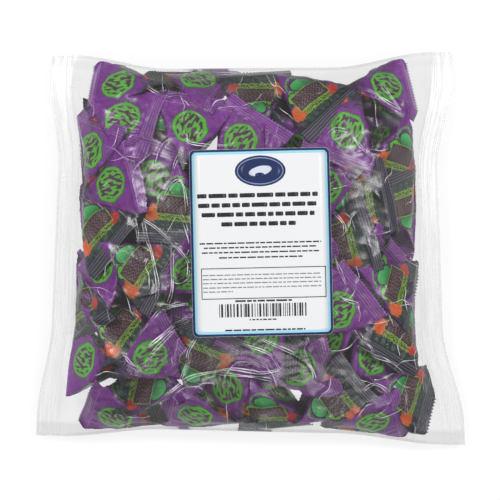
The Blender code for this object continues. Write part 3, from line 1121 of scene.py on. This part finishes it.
def make_folds(film_tree, label, material):
    """The sharp folds of the front film: narrow raised lines, in pairs along the long creases."""
    rng = np.random.default_rng(33)
    plans = []
    for height, _, corners in CREASES_mm:
        for offset in (-FOLD_SPREAD, FOLD_SPREAD):
            offset = offset * rng.uniform(0.7, 1.3)
            plans.append(fold_points(rng, corners, offset, FOLD_HALF * height / 0.7))
    for height, _, corners in short_creases():
        plans.append(fold_points(rng, corners, 0.0, FOLD_HALF * (0.4 + height)))
    points, faces = [], []
    for places in plans:
        x, y = places[..., 0], places[..., 1]
        z = heights_on(film_tree, x, y, True, -1.0) + FOLD_LIFT * np.array([1.0, 2.5, 1.0])
        clear = label.distance(*label.local(x, y)).min(axis=1) > 1 * MM
        held = clear & (z.min(axis=1) > 0)
        joined = np.append(held[:-1] & held[1:], False)
        kept = joined | np.append(False, joined[:-1])
        number = len(points) + 3 * (np.cumsum(kept) - 1)
        points += np.stack([x, y, z], axis=2)[kept].reshape(-1, 3).tolist()
        for a in number[joined]:
            faces += [(a, a + 3, a + 4, a + 1), (a + 1, a + 4, a + 5, a + 2)]
    made = new_object("bag_film_folds", points, faces, None, [material])
    made.data.flip_normals()
    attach(made, "root")
    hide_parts("bag")


# ---------------------------------------------------------------------------------------------
# The label
# ---------------------------------------------------------------------------------------------


class Label:
    """The label's place on the bag: its own axes, from its middle, and its smooth height there."""

    POWERS = [(i, j) for i in range(5) for j in range(5 - i)]

    def __init__(self, tree):
        self.cos, self.sin = math.cos(LABEL_TURN), math.sin(LABEL_TURN)
        lx, ly = np.meshgrid(np.linspace(-0.48, 0.48, 21), np.linspace(-0.48, 0.48, 27), indexing="ij")
        lx, ly = lx * LABEL_WIDTH, ly * LABEL_HEIGHT
        z = heights_on(tree, *self.world(lx, ly), True, -1.0)
        met = z > 0
        self.fit = np.linalg.lstsq(self.terms(lx[met], ly[met]), z[met], rcond=None)[0]

    def terms(self, lx, ly):
        u, v = lx / LABEL_WIDTH, ly / LABEL_HEIGHT
        return np.stack([u**i * v**j for i, j in self.POWERS], axis=-1)

    def height(self, lx, ly):
        return self.terms(lx, ly) @ self.fit

    def world(self, lx, ly):
        x = LABEL_CENTRE[0] + lx * self.cos - ly * self.sin
        return x, LABEL_CENTRE[1] + lx * self.sin + ly * self.cos

    def local(self, x, y):
        dx, dy = x - LABEL_CENTRE[0], y - LABEL_CENTRE[1]
        return dx * self.cos + dy * self.sin, dy * self.cos - dx * self.sin

    def distance(self, lx, ly):
        """About how far a point lies outside the label."""
        return np.maximum(np.abs(lx) - LABEL_WIDTH / 2, np.abs(ly) - LABEL_HEIGHT / 2)


def round_box(half_width, half_height, corner):
    """The half width of a box with round corners at each height from its middle."""

    def reach(v):
        into = np.clip(np.abs(v) - (half_height - corner), 0, corner)
        return half_width - corner + np.sqrt(np.maximum(corner**2 - into**2, 0))

    return reach


def oval(half_width, half_height):
    def reach(v):
        return half_width * np.sqrt(np.maximum(1 - (v / half_height) ** 2, 1e-4))

    return reach


class Print:
    """A mesh of thin patches of paper or ink that lie on the label."""

    def __init__(self, label):
        self.label = label
        self.points, self.faces, self.kinds = [], [], []

    def patch(self, kind, centre, half_height, reach, layer, turn=0.0, skirt=None):
        """One patch, whose half width at each height is reach. It stands layer steps over the paper."""
        rows = 2 + 2 * int(math.ceil(half_height / (2.2 * MM)))
        v = half_height * np.sin(np.linspace(-math.pi / 2, math.pi / 2, rows + 5))
        columns = 2 + int(math.ceil(float(reach(np.array(0.0))) / (1.8 * MM)))
        across = np.linspace(-1, 1, columns)
        u = across[:, None] * reach(v)[None, :]
        v = v[None, :] + 0 * u
        c, s = math.cos(turn), math.sin(turn)
        lx, ly = centre[0] + u * c - v * s, centre[1] + u * s + v * c
        lift = layer * PRINT_STEP
        start = len(self.points)
        x, y = self.label.world(lx, ly)
        z = self.label.height(lx, ly) + lift
        self.points += np.stack([x, y, z], axis=2).reshape(-1, 3).tolist()
        faces = sheet_faces(*u.shape, True, start)
        self.faces += faces
        depth = lift if skirt is None else skirt
        rim = outer_ring(*u.shape)
        foot = len(self.points)
        for k in rim:
            px, py, pz = self.points[start + k]
            self.points.append([px, py, pz - depth])
        for a in range(len(rim)):
            b = (a + 1) % len(rim)
            self.faces.append((start + rim[a], foot + a, foot + b, start + rim[b]))
        self.kinds += [kind] * (len(faces) + len(rim))

    def make(self, name, materials):
        made = new_object(name, self.points, self.faces, None, materials, self.kinds)
        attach(made, "root")
        return made


def outer_ring(columns, rows):
    """The indices of a grid's outer points, once round."""
    bottom = [i * rows for i in range(columns)]
    right = [(columns - 1) * rows + j for j in range(1, rows)]
    top = [i * rows + rows - 1 for i in range(columns - 2, -1, -1)]
    return bottom + right + top + [j for j in range(rows - 2, 0, -1)]


NAVY, SKY, WHITE, INK, GREY, LAVENDER, PALE = range(7)
# Rows of plain bars that stand for lines of print: left end, right end and middle height in mm from the
# label's middle, the bars' thickness, and about how long each bar is.
TITLE_ROWS_mm = (
    (-34.2, 31.2, 25.6, 2.3, 6.5),
    (-33.8, 30.3, 20.4, 2.3, 6.5),
    (-32.0, 29.2, 15.3, 2.3, 6.5),
    (-21.4, 18.9, 10.1, 2.3, 6.5),
)
SMALL_ROWS_mm = (
    (-33.4, 32.5, -0.2, 0.75, 3.2),
    (-31.2, 30.3, -2.6, 0.75, 3.2),
    (-32.3, 31.4, -5.2, 0.75, 3.2),
    (-23.1, 22.2, -8.0, 0.75, 3.2),
    (-14.8, 15.9, -31.6, 0.95, 4.0),
    (-7.3, 8.2, -41.8, 0.7, 1.6),
    (-20.6, 22.9, -47.4, 0.8, 3.6),
)
BOX_ROWS_mm = (
    (-32.0, 32.0, -17.4, 0.55, 2.6),
    (-32.0, 32.0, -19.6, 0.55, 2.6),
    (-32.0, 32.0, -21.8, 0.55, 2.6),
    (-32.0, 32.0, -24.2, 0.55, 2.6),
    (-32.0, -16.0, -26.4, 0.55, 2.6),
)


def bar_row(ink, rng, row, kind):
    """A row of bars of uneven length with small gaps, from its left end to its right end."""
    left, right, height, thick, usual = row
    at = left
    while at < right - 0.5:
        end = min(at + usual * rng.uniform(0.45, 1.5), right)
        half = (end - at) / 2 * MM
        tall = thick / 2 * MM
        shape = round_box(half, tall, min(0.45 * tall, half))
        ink.patch(kind, ((at + end) / 2 * MM, height * MM), tall, shape, 5)
        at = end + max(0.6, 0.28 * thick + 0.4)


def make_label(label, materials):
    """The paper, and the print on it as plain fields, bars and a badge with a bean shape."""
    rng = np.random.default_rng(8)
    half_w, half_h = LABEL_WIDTH / 2, LABEL_HEIGHT / 2
    paper = Print(label)
    paper.patch(0, (0, 0), half_h, round_box(half_w, half_h, LABEL_CORNER), 0, skirt=LABEL_PAPER)
    sheet = paper.make("label_paper_sheet", [materials[WHITE]])
    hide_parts("label")
    ink = Print(label)
    for layer, (kind, inset) in enumerate(((NAVY, 0.1), (SKY, 1.4), (WHITE, 2.8))):
        shape = round_box(half_w - inset * MM, half_h - inset * MM, LABEL_CORNER - 0.5 * inset * MM)
        ink.patch(kind, (0, 0), half_h - inset * MM, shape, layer + 1)
    badge = (0.3 * MM, 38.7 * MM)
    ink.patch(NAVY, badge, 8.4 * MM, oval(13.8 * MM, 8.4 * MM), 4)
    ink.patch(LAVENDER, badge, 7.4 * MM, oval(12.7 * MM, 7.4 * MM), 5)
    ink.patch(NAVY, badge, 6.9 * MM, oval(12.1 * MM, 6.9 * MM), 6)
    ink.patch(PALE, badge, 2.6 * MM, oval(6.4 * MM, 2.6 * MM), 7, math.radians(12))
    ink.patch(NAVY, (badge[0] - 0.3 * MM, badge[1] - 2.3 * MM), 1.4 * MM, oval(2.6 * MM, 1.4 * MM), 8)
    for row in TITLE_ROWS_mm:
        bar_row(ink, rng, row, INK)
    for row in SMALL_ROWS_mm:
        bar_row(ink, rng, row, INK)
    frame_box(ink, (0.9 * MM, -22.0 * MM), 33.6 * MM, 8.2 * MM)
    for row in BOX_ROWS_mm:
        bar_row(ink, rng, row, GREY)
    upright_bars(ink, rng)
    return ink.make("label_print", materials)


def upright_bars(ink, rng):
    """A row of upright bars of random widths that stands where a bar code would be."""
    tall = 3.6 * MM
    at = -23.6
    while at < 24.6:
        width = rng.choice([0.35, 0.35, 0.7, 1.05])
        half = width / 2 * MM
        ink.patch(INK, ((at + width / 2) * MM, -36.7 * MM), tall, round_box(half, tall, 0.3 * half), 5)
        at += width + rng.choice([0.35, 0.7, 1.05])


def frame_box(ink, centre, half_w, half_h):
    """The outline of a box, as four thin bars."""
    line = 0.22 * MM
    for way in (-1, 1):
        above = (centre[0], centre[1] + way * half_h)
        beside = (centre[0] + way * half_w, centre[1])
        ink.patch(INK, above, line, round_box(half_w + line, line, 0.3 * line), 5)
        ink.patch(INK, beside, half_h, round_box(line, half_h, 0.3 * line), 5)


# ---------------------------------------------------------------------------------------------
# Floor, light and camera
# ---------------------------------------------------------------------------------------------


def floor_material():
    """A pale floor that takes the shadow, raised to white where the camera or a gloss sees it."""
    sh = Shader("floor_white")
    matt = sh.node("ShaderNodeBsdfDiffuse")
    drift = sh.noise(sh.place(), 4.0)
    sh.feed(matt.inputs["Color"], sh.paint((FLOOR_SHADE,) * 3, (1.05 * FLOOR_SHADE,) * 3, drift))
    path = sh.node("ShaderNodeLightPath")
    seen = sh.both(path.outputs["Is Camera Ray"], path.outputs["Is Glossy Ray"])
    seen = sh.both(seen, path.outputs["Is Transmission Ray"])
    glow = sh.node("ShaderNodeEmission")
    sh.feed(glow.inputs["Strength"], sh.mul(seen, FLOOR_GLOW))
    both = sh.node("ShaderNodeAddShader")
    sh.feed(both.inputs[0], matt.outputs[0])
    sh.feed(both.inputs[1], glow.outputs[0])
    sh.feed(sh.output.inputs[0], both.outputs[0])
    return sh.material


def make_floor():
    side, low = 3.0, -0.5 * MM
    points = [(-side, -side, low), (side, -side, low), (side, side, low), (-side, side, low)]
    floor = new_object("floor", points, [(0, 1, 2, 3)], None, [floor_material()])


def area_light(name, place, size, power):
    """A square light that faces the bag."""
    data = bpy.data.lights.new(name, "AREA")
    data.shape = "SQUARE"
    data.size = size
    data.energy = power
    made = bpy.data.objects.new(name, data)
    made.location = place
    towards = Vector((0, 0, VIEW_LEVEL)) - Vector(place)
    made.rotation_euler = towards.to_track_quat("-Z", "Y").to_euler()
    bpy.context.scene.collection.objects.link(made)


def make_lights():
    world = bpy.data.worlds.new("studio")
    world.use_nodes = True
    bpy.context.scene.world = world
    back = world.node_tree.nodes["Background"]
    back.inputs["Color"].default_value = (1.0, 1.0, 1.0, 1.0)
    back.inputs["Strength"].default_value = WORLD_LEVEL
    for name, place, size, power in LIGHTS:
        area_light(name, place, size, power)


def make_camera():
    data = bpy.data.cameras.new("camera")
    data.lens = data.sensor_width * (CAMERA_HEIGHT - VIEW_LEVEL) / VIEW_WIDTH
    camera = bpy.data.objects.new("camera", data)
    camera.location = (*CAMERA_OFFSET, CAMERA_HEIGHT)
    bpy.context.scene.collection.objects.link(camera)
    bpy.context.scene.camera = camera


def main():
    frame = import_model()
    bag_tree = tree_of([frame["nodes"]["bag"]])
    label = Label(tree_of([frame["nodes"]["label"]]))
    envelope = Envelope(bag_tree)
    sachets = make_sachets(envelope, sachet_material())
    contents = tree_of(sachets)
    film = film_material()
    front = make_front_film(bag_tree, contents, label, film)
    make_folds(tree_of([front]), label, fold_material())
    make_back_film(bag_tree, contents, film)
    make_label(
        label,
        [
            paper_material("ink_navy", srgb(16, 38, 88), 1.3),
            paper_material("ink_sky", srgb(164, 224, 246), 1.08),
            paper_material("label_white", srgb(246, 247, 249), 0.97),
            paper_material("ink_black", srgb(26, 26, 32), 1.5),
            paper_material("ink_grey", srgb(120, 122, 128), 1.2),
            paper_material("ink_lavender", srgb(150, 164, 206), 1.15),
            paper_material("ink_pale", srgb(224, 232, 246), 0.95),
        ],
    )
    make_floor()
    make_lights()
    make_camera()
    bpy.context.scene.view_settings.view_transform = "Standard"
    bpy.context.view_layer.update()


main()
